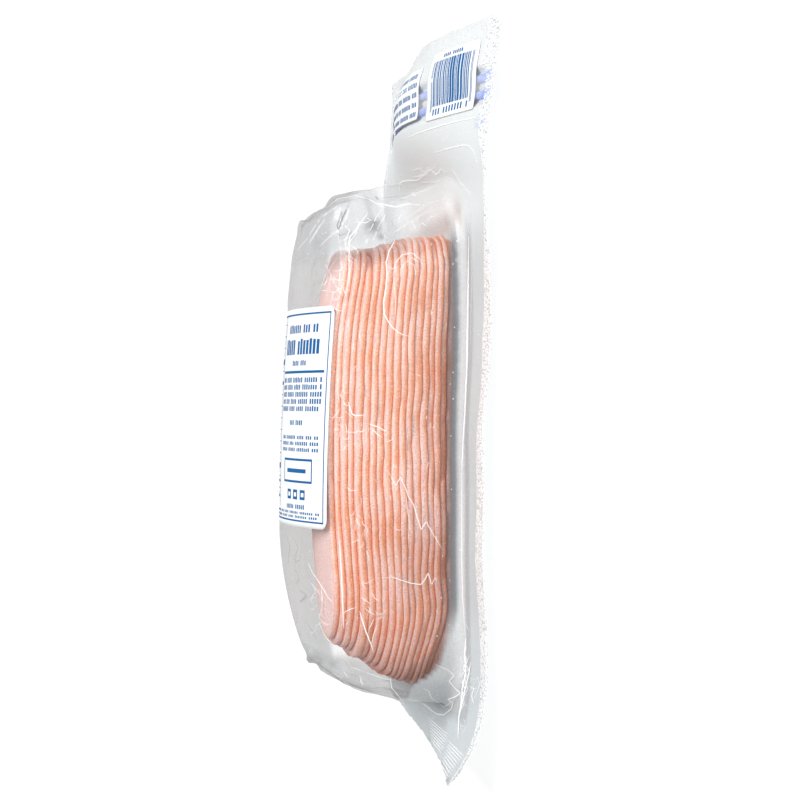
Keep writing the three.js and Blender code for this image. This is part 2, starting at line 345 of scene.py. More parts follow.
def add(tree, kind, inputs=(), out=0, **settings):
    """Adds a node and gives one output. inputs is a dict by socket, or a list from the first socket on.

    Each input is a value or another node's output. A map range lists its value, the range that it
    comes from and the range that it goes to. A colour mix has its amount at 0, its colours at 6 and 7.
    """
    node = tree.nodes.new("ShaderNode" + kind)
    for key, value in settings.items():
        setattr(node, key, value)
    for key, value in inputs.items() if isinstance(inputs, dict) else enumerate(inputs):
        if isinstance(value, bpy.types.NodeSocket):
            tree.links.new(value, node.inputs[key])
        else:
            node.inputs[key].default_value = value
    return node.outputs[out]


def scale_for(size):
    """The scale of a pattern whose grains or cells are size mm wide."""
    return 1 / (size * MM)


def new_material(name, **values):
    """A material with one Principled shader, whose sockets are set by name with _ for a space."""
    material = bpy.data.materials.new(name)
    material.use_nodes = True
    tree = material.node_tree
    shader = tree.nodes["Principled BSDF"]
    for key, value in values.items():
        shader.inputs[key.replace("_", " ")].default_value = value
    return material, tree, shader


def dots(tree, place, spacing, full, gone, strength, empty):
    """How much of a round dot lies at each place. There is a dot in some of a pattern's cells.

    spacing is the cells' size in mm, and empty the share of them without a dot. A dot starts to
    fade at full and ends at gone, as shares of the spacing from its middle.
    """
    cells = add(tree, "TexVoronoi", {"Vector": place, "Scale": scale_for(spacing)}).node.outputs
    dot = add(tree, "MapRange", [cells["Distance"], full, gone, strength, 0.0])
    draw = add(tree, "SeparateColor", [cells["Color"]])
    chosen = add(tree, "Math", [draw, empty], operation="GREATER_THAN")
    return add(tree, "Math", [dot, chosen], operation="MULTIPLY")


def clear_film_material():
    """Drawn nylon film: clear where it clings, milky and grainy where it is slack, its haze greyed by
    painted shade.
    """
    material, tree, haze = new_material(
        "clear_film_vacuum_drawn", Roughness=0.45, IOR=1.5, Specular_IOR_Level=0.2
    )
    place = add(tree, "TexCoord", out="Object")
    frost = add(tree, "Attribute", out="Fac", attribute_name="frost")
    shade = add(tree, "Attribute", out="Fac", attribute_name="shade")
    # the milky bloom has a grain of about 0.7 mm
    grain = add(tree, "TexNoise", {"Vector": place, "Scale": scale_for(0.714), "Detail": 1.0})
    grainy = add(tree, "MapRange", [grain, 0.3, 0.7, 0.93, 1.07])
    frosted = add(tree, "Math", [frost, grainy], operation="MULTIPLY", use_clamp=True)
    # specks of moisture and dust, about 0.4 mm across, in one cell in sixteen, painted white as glints
    speck = dots(tree, place, spacing=1.54, full=0.08, gone=0.2, strength=0.8, empty=0.94)
    body = add(tree, "Math", [frosted, speck], operation="MAXIMUM")
    # the haze is darkened by the shade attribute: painted shade and painted reflection of a dim room
    colour = linear("#f2f4f5")
    for amount, paint in ((shade, "#74787c"), (speck, "#ffffff")):
        colour = add(tree, "Mix", {0: amount, 6: colour, 7: linear(paint)}, out=2, data_type="RGBA")
    tree.links.new(colour, haze.inputs["Base Color"])
    # slack film is uneven in low waves, about 9 mm long
    wave = add(tree, "TexNoise", {"Vector": place, "Scale": scale_for(9.1), "Detail": 3.0})
    slackness = add(tree, "Math", [frost, 2.5], operation="MULTIPLY", use_clamp=True)
    height = add(tree, "Math", [wave, slackness], operation="MULTIPLY")
    bump = add(tree, "Bump", {"Height": height, "Distance": 1.0 * MM, "Strength": 0.5})
    tree.links.new(bump, haze.inputs["Normal"])
    clear = add(tree, "BsdfTransparent", {"Color": linear("#fbfcfc")})
    film = add(tree, "MixShader", [body, clear, haze.outputs[0]])
    # the film's face is glossy, most where it is seen edge on
    gloss = add(tree, "BsdfGlossy", {"Roughness": 0.15, "Normal": bump})
    edge_on = add(tree, "LayerWeight", {"Blend": 0.5, "Normal": bump}, out="Facing")
    grazing = add(tree, "Math", [edge_on, 4.0], operation="POWER")
    mirror = add(tree, "Math", [grazing, 0.1, 0.025], operation="MULTIPLY_ADD")
    surface = add(tree, "MixShader", [mirror, film, gloss])
    tree.links.new(surface, tree.nodes["Material Output"].inputs["Surface"])
    return material


def crease_material(name, hex_colour):
    """Film bent past its limit: opaque along the crease's crest, clear at its sides. Its white is partly
    painted highlight and its grey a painted dark reflection, and a faint emission paints a glow.
    """
    paint = linear(hex_colour)
    # the faint emission is a painted glow
    material, tree, shader = new_material(
        name, Roughness=0.5, IOR=1.5, Base_Color=paint, Emission_Color=paint, Emission_Strength=0.12
    )
    amount = add(tree, "Attribute", out="Fac", attribute_name="crest")
    clear = add(tree, "BsdfTransparent")
    surface = add(tree, "MixShader", [amount, clear, shader.outputs[0]])
    tree.links.new(surface, tree.nodes["Material Output"].inputs["Surface"])
    return material


def drawn_height(y):
    """How far up the web is drawn round the stack's lower edge: more round its foot corner."""
    return np.interp(y, (-97, -95, -93, -88.7, -80, -70), (17.5, 15.5, 12, 9, 7, 5.6))


def frost_amount(points):
    """How milky the film is: clear where it clings to the ham, grey where it is slack."""
    x, y = points[:, 0], points[:, 1]
    up = points[:, 2] - web_level(x, y)
    # the foot end goes slack beyond the slices, which reach farthest a third of the way up
    beyond = np.interp(up, (0, 8, 20, 30, 46), (-92, -95, -96, -92, -84)) - y
    past_top = y - np.interp(up, (0, 10, 20, 30, 46), (57, 57, 53.5, 50.8, 48.3))
    ends = np.maximum(smoothstep(-1.5, 0.8, past_top), smoothstep(-1, 3, beyond))
    far = smoothstep(32, -12, x) * 0.9
    pocket = 0.02 + mix(0.06, 0.5, smoothstep(25.5, 28.5, up)) * np.maximum(ends, far)
    pocket = np.maximum(pocket, 0.5 * smoothstep(-93, -99, y))
    # the web is drawn up round the stack's lower edge, and scuffed all along the pocket's foot
    along = smoothstep(68, 52, y) * mix(0.3, 1.0, smoothstep(-10, 10, x))
    # the opaque frost of this band holds the painted contact shadow of film_shade
    drawn_up = 0.94 * smoothstep(0.5, -2.2, up - drawn_height(y)) * along
    on_pocket = smoothstep(0.02, 0.4, up)
    inner_flange = 0.5 * smoothstep(66, 60.5, np.abs(x)) * smoothstep(-110, -104, y) * along
    over_zip = 0.25 * smoothstep(5, 2, np.abs(y - 103))
    return mix(0.05 + over_zip + inner_flange, np.maximum(pocket, drawn_up), on_pocket)


# Creases by their place in the photograph in pixels, then half-width and height in mm, and how
# much of what lies behind they hide. Their white is stress whitening and painted highlight.
CREASES = {
    "hooked fold": ([(395, 240), (389, 251), (386, 263), (387, 274), (386, 288), (383.5, 302),
        (384, 314), (389, 323), (394, 329), (401, 334), (408, 336)], 0.34, 0.22, 0.85),
    "upright line": ([(358.7, 223), (356, 234), (350, 241), (349.5, 249), (349, 262),
        (349.3, 286)], 0.26, 0.2, 0.6),
    "small fold, outer arc": ([(393, 276), (395, 264), (402, 255), (412, 253), (420, 259),
        (424, 270)], 0.3, 0.2, 0.5),
    "small fold, inner arc": ([(400, 278), (401, 268), (407, 261), (414, 265),
        (416, 276)], 0.26, 0.2, 0.45),
    "small fold, near limb": ([(393, 276), (396, 300), (395, 320)], 0.3, 0.2, 0.4),
    "zigzag": ([(387, 470), (396, 485.5), (400, 477), (406, 489), (408, 496), (413.6, 505), (421, 530),
        (426.4, 521), (429.4, 528), (442.7, 550)], 0.28, 0.22, 0.65),
    "zigzag's branch": ([(406, 496), (408, 512), (410, 531)], 0.24, 0.15, 0.5),
    "lower line": ([(386, 577.6), (392, 577), (402, 580.6), (412, 583.4), (421, 584.6), (425, 579.5),
        (428, 573), (431.6, 585), (435, 577), (437, 582)], 0.24, 0.15, 0.7),
    "pointed fold": ([(359.5, 611), (365, 629), (371, 644.6), (373.5, 651)], 0.28, 0.2, 0.75),
    "pointed fold's other side": ([(371, 646), (373, 637), (377, 625)], 0.22, 0.15, 0.55),
    "streak by the back's edge": ([(339.7, 540), (341, 565.5), (342, 591), (343, 611),
        (344, 629)], 0.42, 0.2, 0.5),
    "back, long line": ([(308, 563), (313, 573), (320.6, 584.6), (328, 597),
        (333, 603)], 0.26, 0.15, 0.7),
    "back, second line": ([(311, 583), (320.6, 595)], 0.22, 0.12, 0.6),
    "back, upright line": ([(321, 585), (322.5, 600), (321.5, 613)], 0.22, 0.12, 0.6),
    "back, low line": ([(319, 622), (324, 634), (329.5, 642)], 0.24, 0.12, 0.6),
    "back, crossing": ([(320, 291), (325, 277), (333, 264), (338, 258)], 0.3, 0.12, 0.28),
    "back, crossing back": ([(325, 264), (331, 275), (337, 288), (345, 298)], 0.3, 0.12, 0.28),
    "back, third": ([(325, 303), (329, 288), (331, 274)], 0.3, 0.12, 0.25),
    "first hook": ([(348, 402), (352, 414), (355.5, 416), (364, 415)], 0.28, 0.2, 0.8),
    "second hook": ([(369, 424), (378, 427), (387, 432)], 0.26, 0.15, 0.8),
    "third hook": ([(372, 428.5), (377, 434), (382, 437.6)], 0.24, 0.15, 0.7),
    "hump's crest": ([(327, 208), (338, 199), (356, 196), (370, 200), (385, 208)], 0.4, 0.2, 0.45),
    "branching crease": ([(360, 223), (357, 230), (350, 237), (348, 246)], 0.26, 0.15, 0.75),
    "branch to the left": ([(353, 222), (366, 223), (373, 219)], 0.24, 0.12, 0.45),
    "crease by the notch": ([(370, 231), (376.7, 217), (382, 209)], 0.3, 0.15, 0.5),
    "first soft streak": ([(313, 237), (325, 219)], 0.7, 0.15, 0.3),
    "second soft streak": ([(309, 244), (319, 228)], 0.6, 0.15, 0.28),
    "third soft streak": ([(297, 251), (308, 238)], 0.5, 0.12, 0.3),
    "fourth soft streak": ([(306, 240), (321, 218), (338, 206)], 0.5, 0.1, 0.3),
    "fifth soft streak": ([(319, 247), (334, 233), (352, 223)], 0.6, 0.1, 0.24),
    "sixth soft streak": ([(346, 240), (357, 228), (368, 213)], 0.45, 0.1, 0.32),
    "seventh soft streak": ([(386, 214), (379, 226), (373, 241)], 0.45, 0.1, 0.32),
    "loop under the teardrop": ([(335, 236), (338, 229), (345, 226), (350, 231), (346, 239),
        (337, 243)], 0.3, 0.1, 0.42),
    "gather's crest": ([(379, 203.6), (388, 205.5), (396, 207), (408, 204), (420, 205)], 0.4, 0.2, 0.5),
    "foot zigzag": ([(435, 664), (448, 670), (454.4, 675.4), (449, 681), (458, 691), (461, 693),
        (455, 697), (448, 699), (453, 703), (451.6, 709), (444, 715), (437, 714), (428, 708),
        (421, 701), (410, 699), (401, 698)], 0.26, 0.18, 0.85),
    "inner line of the lobe": ([(423, 688), (429, 691), (431.6, 698), (438, 702), (444, 707),
        (450, 703)], 0.24, 0.15, 0.7),
    "line from the ham to the foot": ([(390, 678), (392, 688), (399, 696), (403, 702),
        (410, 714)], 0.26, 0.15, 0.6),
    "bottom edge fold": ([(333, 673), (340, 677), (352, 687), (370, 692), (392, 695)], 0.35, 0.2, 0.5),
    "fold above the bottom edge": ([(343, 655), (352, 667), (380, 677), (393, 681)], 0.3, 0.2, 0.4),
    "seal's bead": ([(469, 236), (468.6, 270), (468.3, 300), (467.2, 367), (465, 417), (463.3, 443),
        (462, 470)], 0.62, 0.3, 0.85),
    "seal's bead, faint part": ([(462, 470), (462, 500), (462, 560), (463, 600),
        (466, 638)], 0.5, 0.25, 0.5),
    "seal's bead, crushed part": ([(466, 638), (465, 656), (466.5, 672), (463, 688), (461.5, 704),
        (459.5, 716), (458, 738)], 0.75, 0.4, 0.85),
    "second crushed streak": ([(471, 662), (469, 676), (465.5, 690), (463, 702),
        (460, 716)], 0.6, 0.35, 0.8),
    "crumple beside it": ([(467, 646), (464.5, 655), (468, 661), (463.5, 668), (467, 675), (462.5, 683),
        (466, 690), (461, 697), (464, 705), (459.5, 712)], 0.4, 0.25, 0.7),
    "second crumple": ([(470, 655), (466, 664), (470, 672), (465, 681), (468.5, 689), (463, 698),
        (466, 706)], 0.36, 0.22, 0.6),
    "crumpled hook": ([(475, 684), (478, 677), (480, 684), (477, 693), (474, 700)], 0.3, 0.2, 0.5),
    "third crushed streak": ([(474, 688), (472, 696), (474, 704)], 0.5, 0.3, 0.6),
    "line beside the bead": ([(472.5, 240), (471.6, 300), (470, 360)], 0.28, 0.1, 0.35),
    "zip's weld": ([(408, 138), (418, 133), (430, 129), (441, 125.5), (458, 121),
        (476, 117.5)], 0.24, 0.12, 0.7),
    "start of the forming": ([(434, 153), (450, 148), (463, 145), (469, 146), (474, 151), (477, 160),
        (478, 172)], 0.24, 0.12, 0.5),
    "crinkle under the weld": ([(409, 166), (411, 168), (414, 171), (417, 168.5), (420, 168),
        (422, 170.5), (425, 173), (428, 170), (431, 170), (434, 173), (437, 175), (439, 172),
        (441, 169), (445, 172), (449, 172)], 0.22, 0.14, 0.7),
    "crinkle, second line": ([(411, 176), (418, 177), (424, 174.5), (429, 176)], 0.2, 0.12, 0.5),
    "line to the rim": ([(451, 168), (457, 176), (461, 184), (464, 186), (471, 195)], 0.24, 0.12, 0.7),
    "first tension line": ([(388, 204), (399, 200), (410, 196), (434, 187)], 0.22, 0.1, 0.3),
    "second tension line": ([(392, 234), (404, 226), (418.6, 217), (436, 207)], 0.26, 0.12, 0.3),
    "third tension line": ([(400, 222), (414, 214), (430, 203), (448, 198)], 0.22, 0.1, 0.22),
    "fourth tension line": ([(410, 232), (424, 222), (440, 212)], 0.22, 0.1, 0.22),
    "fifth tension line": ([(396, 190), (420, 183), (446, 180)], 0.2, 0.1, 0.2),
}
# The far side repeats these and the scribbles end for end: y in pixels becomes this less y.
FAR_CREASES = ("hooked fold", "zigzag", "lower line", "pointed fold", "seal's bead", "foot zigzag")
END_FOR_END = 880
# Painted dark reflections, where a steep fold would mirror the dark side of the room: path, half-width and
# how much it hides.
SLIVERS = {
    "beside the hump": ([(350, 202), (345, 213), (340, 223)], 0.4, 0.55),
    "teardrop": ([(342, 211), (337, 226), (338.5, 230), (342, 220), (342, 212)], 0.26, 0.6),
    "under the teardrop": ([(336, 232), (340, 236), (346, 233)], 0.24, 0.5),
    "short mark": ([(375, 196), (379, 200)], 0.4, 0.4),
    "first squiggle": ([(293, 537), (298, 547), (295, 562), (300, 560), (301.7, 550)], 0.22, 0.5),
    "second squiggle": ([(286.7, 535), (290, 547), (288.3, 563)], 0.22, 0.45),
    "third squiggle": ([(300, 590), (306.7, 595), (300, 602), (308, 597)], 0.22, 0.5),
    "fourth squiggle": ([(305, 620), (311.7, 630), (316.7, 640)], 0.22, 0.45),
    "fifth squiggle": ([(296, 571), (299, 577), (297, 585)], 0.2, 0.45),
}
# Patches of fine scribbled wrinkles, white as creases and painted glints: middle and spread in pixels,
# how many, and how long in pixels.
WRINKLES = (
    ((343, 400), (8, 34), 26, 12), ((372, 428), (9, 7), 9, 10), ((358, 528), (8, 30), 24, 10),
    ((366, 610), (16, 26), 16, 12), ((343, 262), (6, 22), 12, 12), ((408, 262), (14, 14), 12, 10),
    ((395, 500), (26, 60), 22, 9), ((430, 420), (12, 130), 16, 8), ((333, 282), (5, 18), 13, 12),
    ((320, 602), (6, 26), 20, 12), ((350, 330), (10, 30), 12, 9), ((425, 170), (14, 5), 12, 8),
    ((415, 215), (18, 9), 12, 9), ((436, 60), (26, 26), 10, 7), ((465, 676), (4, 28), 38, 8),
    ((350, 680), (24, 8), 8, 12), ((345, 218), (18, 14), 12, 9), ((448, 735), (14, 18), 8, 8),
)


# Wrinkles and creases are followed in steps of so many pixels.
WRINKLE_STEP = 1.4
CREASE_STEP = 1.6
# A crease's section from side to side: how far across in half-widths, how far up in heights, and
# how solid. Its foot lies 0.03 mm off the film, and sideways it wanders by a third of a pixel.
CREASE_SECTION = ((-1, -0.02, 0.0), (-0.4, 0.8, 1.0), (0.4, 0.8, 1.0), (1, -0.02, 0.0))
CREASE_LIFT = 0.03
CREASE_WANDER = 0.35


def scribbles():
    """Short wandering wrinkles scattered over the patches, as white creases that are partly painted glints.
    """
    rng = np.random.default_rng(21)
    lines = []
    for middle, spread, count, length in WRINKLES:
        for _ in range(count):
            point = np.array(middle) + rng.normal(0, 0.6, 2) * spread
            heading = rng.normal(math.pi / 2, 0.6)
            bend = rng.normal(0, 0.1)
            path = [tuple(point)]
            for _ in range(int(length * rng.uniform(0.5, 1.3) / WRINKLE_STEP)):
                bend = 0.8 * bend + rng.normal(0, 0.14)
                heading += bend
                point = point + WRINKLE_STEP * np.array([math.cos(heading), math.sin(heading)])
                path.append(tuple(point))
            lines.append((path, rng.uniform(0.11, 0.2), 0.1, rng.uniform(0.25, 0.7)))
    return lines


def rib_lines():
    """Ribs that the crimping bar leaves across the bottom seal, 0.9 mm apart in two sets."""
    lines = []
    for index in range(8):
        y = -113.2 - 0.9 * index
        lines.append(((4 + 2 * index, y), (42 + index % 3, y - 0.6)))
    for index in range(9):
        y = -115.4 - 0.9 * index
        lines.append(((47 + index % 2, y), (78 - 0.6 * index, y - 0.4)))
    return [in_photo([(*a, web_level(*a)), (*b, web_level(*b))]) for a, b in lines]


def crease_lines():
    """All creases in sets: material slot, side of the pack (-1 is the far one) and the creases."""
    # the white creases, scribbles and rib tops are stress whitening and painted highlights
    near = list(CREASES.values()) + scribbles()
    near += [(path, 0.26, 0.25, 0.75) for path in rib_lines()]
    # the dark slivers are painted reflections of the dim side of the room
    dark = [(path, half_width, 0.12, hides) for path, half_width, hides in SLIVERS.values()]
    alike = scribbles() + [CREASES[name] for name in FAR_CREASES]
    far = [([(x, END_FOR_END - y) for x, y in path], *rest) for path, *rest in alike]
    return ((1, 1, near), (1, -1, far), (2, 1, dark))


def ridge(film, path, half_width, height, hides, start, side):
    """A raised crease on the film along a path in the photograph: points, faces and how solid.

    film is the film's surface as a search tree, and start the number of the crease's first point.
    On the far side the path is seen as if in a mirror.
    """
    flip = Vector((side, 1, 1))
    path = np.asarray(path, float)
    steps = np.linalg.norm(np.diff(path, axis=0), axis=1)
    reach = np.concatenate([[0], np.cumsum(steps)])
    count = max(4, int(reach[-1] / CREASE_STEP))
    at = np.linspace(0, reach[-1], count)
    pixels = np.column_stack([np.interp(at, reach, path[:, k]) for k in (0, 1)])
    pixels[:, 0] += CREASE_WANDER * relief(np.column_stack([pixels, np.zeros(count)]), 4, start % 97)
    crest = []
    normals = []
    for px, py in pixels:
        sideways = VIEW_RIGHT * ((px - FRAME_PIXELS / 2) / FOCAL_PIXELS)
        upwards = VIEW_UP * ((FRAME_PIXELS / 2 - py) / FOCAL_PIXELS)
        point, normal, _, _ = film.ray_cast(EYE * flip, (sideways + upwards - VIEW_BACK) * flip)
        if point is None:
            return [], [], []
        crest.append(point)
        normals.append(normal)
    points = []
    solid = []
    for index, (point, normal) in enumerate(zip(crest, normals)):
        ahead = crest[min(index + 1, count - 1)] - crest[max(index - 1, 0)]
        beside = normal.cross(ahead).normalized()
        # a crease thins out to a quarter at its two ends
        taper = 0.25 + 0.75 * max(0.0, math.sin(math.pi * index / (count - 1))) ** 0.6
        for across, up, share in CREASE_SECTION:
            out = normal * (height * up * taper + CREASE_LIFT)
            points.append(point + beside * (half_width * across * taper) + out)
            solid.append(hides * share)
    faces = []
    wide = len(CREASE_SECTION)
    for index in range(count - 1):
        for k in range(wide - 1):
            a = start + index * wide + k
            faces.append((a, a + wide, a + wide + 1, a + 1))
    return points, faces, solid


def slack_push(flat, up, pixels, shown):
    """How far the film stands off its drawn shape: gathered at the pocket's ends, close between."""
    above = smoothstep(2, 12, up)
    ends = np.maximum(smoothstep(50, 62, flat[:, 1]), smoothstep(-84, -98, flat[:, 1])) * above
    push = ends * (1.1 * relief(flat * (0.7, 1, 0.3), 8, 1) + 1.2 * relief(flat, 30, 3) - 0.6)
    push += ends * 0.7 * np.clip(1 - np.abs(relief(flat * (1, 1, 0.5), 14, 2)) * 4, -1, 1)
    push += above * (1 - ends) * (0.3 * relief(flat, 30, 5) + 0.25)
    for path, fade, height in FOLDS.values():
        push += height * np.exp(-((distance_to_path(pixels, path) / fade) ** 2)) * shown
    return push * (1 - under_label(flat))


def spot(pixels, place, reach):
    """1 at a place in the photograph, fading away over a reach in pixels."""
    return np.exp(-((np.linalg.norm(pixels - place, axis=1) / reach) ** 2))


def film_shade(y, up, pixels, shown):
    """How dark the haze is painted: painted shade and painted reflection of the dim side of the room, most
    where slack film stands high.
    """
    shade = 0.6 * smoothstep(23, 28, up)
    # painted shadow: the drawn-up edge of the web is darkened as if in the stack's shadow, less towards the
    # foot end
    from_ham = up - drawn_height(y)
    painted_contact_shadow = mix(0.42, 1.0, smoothstep(-4.4, -2.4, from_ham)) * smoothstep(-92, -66, y)
    painted_contact_shadow = np.maximum(painted_contact_shadow, 0.43) * smoothstep(1.2, -0.6, from_ham) * smoothstep(66, 50, y)
    shade = np.maximum(shade, painted_contact_shadow)
    # painted shade deep in the foot end
    shade = np.maximum(shade, 0.5 * smoothstep(-90, -97, y))
    # and painted shade at the places listed in SHADES
    for place, reach, amount in SHADES:
        shade = np.maximum(shade, amount * spot(pixels, place, reach) * shown)
    return shade


def make_formed_film():
    """The whole film with its gathers, haze and creases, as one mesh with three materials."""
    grid = formed_grid()
    rings, count = grid.shape[:2]
    drawn = grid.reshape(-1, 3)
    level = web_level(drawn[:, 0], drawn[:, 1])
    pixels = in_photo(drawn)
    # named places are meant for the side of the pocket that the photograph shows
    shown = smoothstep(-25, 5, drawn[:, 0]) * smoothstep(0.5, 4, drawn[:, 2] - level)
    push = slack_push(drawn, drawn[:, 2] - level, pixels, shown)
    flat = drawn + grid_normals(grid).reshape(-1, 3) * push[:, None]
    up = flat[:, 2] - level
    shade = film_shade(flat[:, 1], up, pixels, shown)
    frost = frost_amount(flat) + smoothstep(10, 16, up) * np.clip(shade - 0.7, 0, 1)
    for place, reach, amount in BLOOMS:
        frost += amount * spot(pixels, place, reach) * shown
    # one more point closes the innermost ring
    last = (rings - 1) * count
    middle = len(flat)
    faces = ring_faces(rings, count)
    faces += [(last + i, last + (i + 1) % count, middle) for i in range(count)]
    points = [Vector(p) for p in np.vstack([flat, flat[last:].mean(0)])]
    frost = np.append(frost, frost[-1]).tolist()
    shade = np.append(shade, 0.0).tolist()
    surface = BVHTree.FromPolygons(points, faces)
    crest = [0.0] * len(points)
    slots = [0] * len(faces)
    for slot, side, lines in crease_lines():
        for path, half_width, height, hides in lines:
            extra, strips, solid = ridge(surface, path, half_width, height, hides, len(points), side)
            points += extra
            faces += strips
            crest += solid
            slots += [slot] * len(strips)
    film = put_mesh("formed_film", [tuple(p) for p in points], faces)
    on_creases = [0.0] * (len(points) - len(frost))
    set_attribute(film, "frost", frost + on_creases)
    set_attribute(film, "shade", shade + on_creases)
    set_attribute(film, "crest", crest)
    film.data.materials.append(clear_film_material())
    film.data.materials.append(crease_material("clear_film_whitened_and_painted_highlight", "#ffffff"))
    film.data.materials.append(crease_material("clear_film_painted_dark_reflection", "#777b7f"))
    film.data.polygons.foreach_set("material_index", slots)
    return film


formed_film = make_formed_film()
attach(formed_film, "root")
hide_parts("formed_web")

# ---------------------------------------------------------------------------------------------
# The ham: pressed and smoked pork leg, sliced about 2.5 mm thick and laid back as one stack. Each
# slice is pale pink meat with an orange-tan smoked rim, moist all over. The stack slumps towards
# its far side, and the lowest slices curl up against the pocket's foot end.
SLICES = 20
THICK_SLICES = 3
STACK_HEIGHT = 46.2
SLICE_ROUND = {"short": 56, "long": 116, "corner": 13}
# A slice's rim from its lower face to its upper one: how far in from the outline in mm, and how far
# up in shares of the slice. Inside it the face stops at a share of the way from the middle, where
# the next slice hides it, and only the last slice's upper face goes on to the middle.
SLICE_RIM = ((0.42, 0.0), (0.17, 0.06), (0.08, 0.18), (0.02, 0.34), (0.0, 0.52), (0.02, 0.7),
             (0.07, 0.85), (0.16, 0.95), (0.42, 1.0))
FACE_STOPS = 0.94
FACE_INSET = 8.0


def stack_top(x, y):
    """Height of the stack's back face above the table."""
    across = 0.0024 * (x - 35) ** 2
    across = np.where(across > 9, 9 + (across - 9) * 0.45, across)
    droop = 3.4 * (np.clip(y - 15, 0, None) / 35) ** 2
    return FLANGE_LEVEL + STACK_HEIGHT - across - 2.1 * ((y + 15) / 45) ** 2 - droop


def stack_bottom(x, y):
    """Height of the lowest slice's lower face above the table, which curls up at the foot end."""
    foot_curl = 6.0 * smoothstep(-66, -96, y) * smoothstep(-60, 30, x)
    return 1.0 + foot_curl


def slice_shares():
    """Where each slice begins and ends in the stack: the lowest ones are cut thicker."""
    rng = np.random.default_rng(7)
    thickness = np.where(np.arange(SLICES) < THICK_SLICES, 1.45, 1.0) + rng.normal(0, 0.12, SLICES)
    edges = np.concatenate([[0], np.cumsum(thickness)])
    return edges / edges[-1]


# Outline of the stack by share of its height: near edge, end towards the header, other end.
STACK_SHARE = (0.0, 0.08, 0.14, 0.2, 0.34, 0.5, 0.62, 0.78, 0.92, 1.0)
STACK_NEAR = (45.0, 49.0, 51.2, 52.6, 54.2, 54.9, 54.9, 54.0, 52.3, 50.3)
STACK_TOP_END = (51.0, 53.4, 55.0, 55.7, 55.3, 54.2, 53.4, 52.0, 50.8, 49.6)
STACK_FOOT_END = (-93.5, -95.2, -96.4, -97.2, -97.4, -95.8, -92.2, -87.0, -84.0, -81.4)


def slice_outline(number, share):
    """One slice's rim in plan, a little out of line with its neighbours."""
    rng = np.random.default_rng(40 + number)
    slip_x, slip_y = rng.normal(0, 0.28), rng.normal(0, 0.85)
    near = np.interp(share, STACK_SHARE, STACK_NEAR) + slip_x
    top = np.interp(share, STACK_SHARE, STACK_TOP_END) + slip_y
    foot = np.interp(share, STACK_SHARE, STACK_FOOT_END) + slip_y * 0.6
    ring = rounded_ring(near, 1.5 - near, top, foot, (15.0, 32.0, 28.0, 24.0), SLICE_ROUND)
    middle = ring.mean(0)
    outward = ring - middle
    outward /= np.linalg.norm(outward, axis=1, keepdims=True)
    points = np.column_stack([ring, np.full(len(ring), share * 30.0)])
    uneven = 0.9 * relief(points, 28, 5) + 0.6 * relief(points * (1, 1, 4), 12, 6 + number * 0.13)
    uneven += 0.33 * relief(points, 3.5, 9 + number)
    return ring + outward * uneven[:, None]


def make_ham():
    """All slices as slabs with soft rims in one mesh, each resting on the one below."""
    edges = slice_shares()
    vertices = []
    faces = []
    band = []
    depth_in = []
    place = []
    for number in range(SLICES):
        low, high = edges[number], edges[number + 1]
        ring = slice_outline(number, (low + high) / 2)
        middle = ring.mean(0)
        length = np.linalg.norm(ring - middle, axis=1, keepdims=True)
        out = ring - middle
        rows = [(middle + out * FACE_STOPS, 0.0, FACE_INSET)]
        rows += [(middle + out * (1 - inset / length), across, inset) for inset, across in SLICE_RIM]
        upper = np.linspace(0.97, 0.03, 16) if number == SLICES - 1 else (FACE_STOPS,)
        rows += [(middle + out * scale, 1.0, FACE_INSET) for scale in upper]
        start = len(vertices)
        count = len(ring)
        for plan, across, inset in rows:
            share = low + (high - low) * across
            # neighbours share their faces, so the waves depend on the height alone
            sway = np.column_stack([plan, np.full(count, share * 24)])
            wave = 0.5 * relief(sway, 24, 11) + 0.62 * relief(sway * (1, 1, 1.6), 11, 12)
            level = mix(stack_bottom(plan[:, 0], plan[:, 1]), stack_top(plan[:, 0], plan[:, 1]), share)
            z = level + wave * math.sin(math.pi * min(1.0, share * 1.02))
            vertices += np.column_stack([plan, z]).tolist()
            band += [1 - across] * count
            place += [share] * count
            depth_in += [inset] * count
        faces += shell_faces(len(rows), count, start)
    ham = put_mesh("ham_slices", np.array(vertices), faces)
    set_attribute(ham, "across_rim", band)
    set_attribute(ham, "inset", depth_in)
    set_attribute(ham, "up_the_stack", place)
    ham.data.materials.append(ham_material())
    return ham


